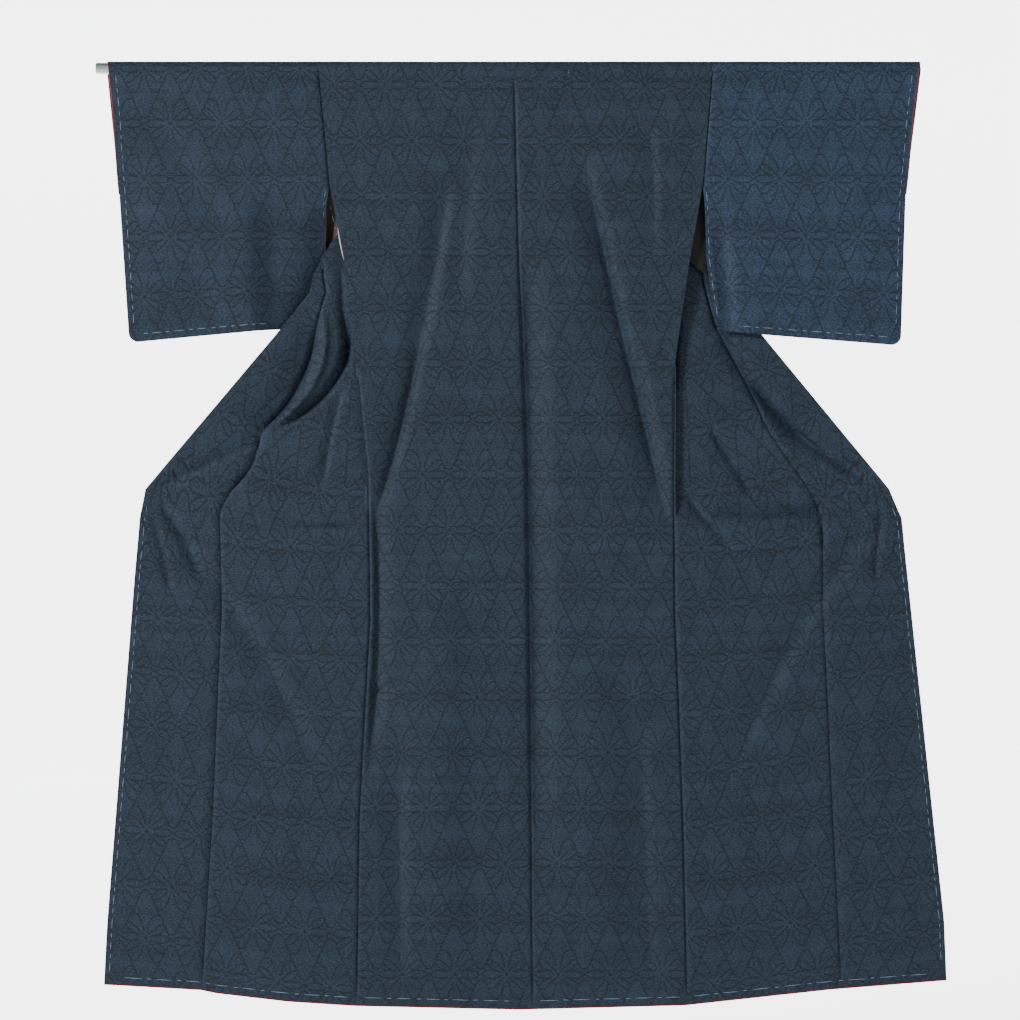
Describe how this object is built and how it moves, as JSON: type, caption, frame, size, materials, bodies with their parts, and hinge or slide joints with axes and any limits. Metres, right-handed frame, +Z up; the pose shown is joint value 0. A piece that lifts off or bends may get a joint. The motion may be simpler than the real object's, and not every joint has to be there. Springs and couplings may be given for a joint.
{
  "type": "kimono on rod",
  "caption": "Woman's lined silk kimono hung on a slim rod through its sleeves, seen from its back, with both fronts swung out to the sides below the waist.",
  "frame": {"origin": "on the rod's axis, above the centre of the back's neck", "axes": "+Z up, +X to the right as the back is seen, -Y the way the garment's back faces"},
  "size_m": [1.394, 0.0477, 1.555],
  "materials": {
    "silk": "soft satin",
    "lining": "soft satin",
    "rod": "satin"
  },
  "bodies": {
    "root": {"body_left": "silk", "body_right": "silk", "okumi_left": "silk", "okumi_right": "silk", "sleeve_left": "silk", "sleeve_right": "silk", "collar": "silk", "hem_lining": "lining", "rod": "rod"}
  },
  "joints": []
}
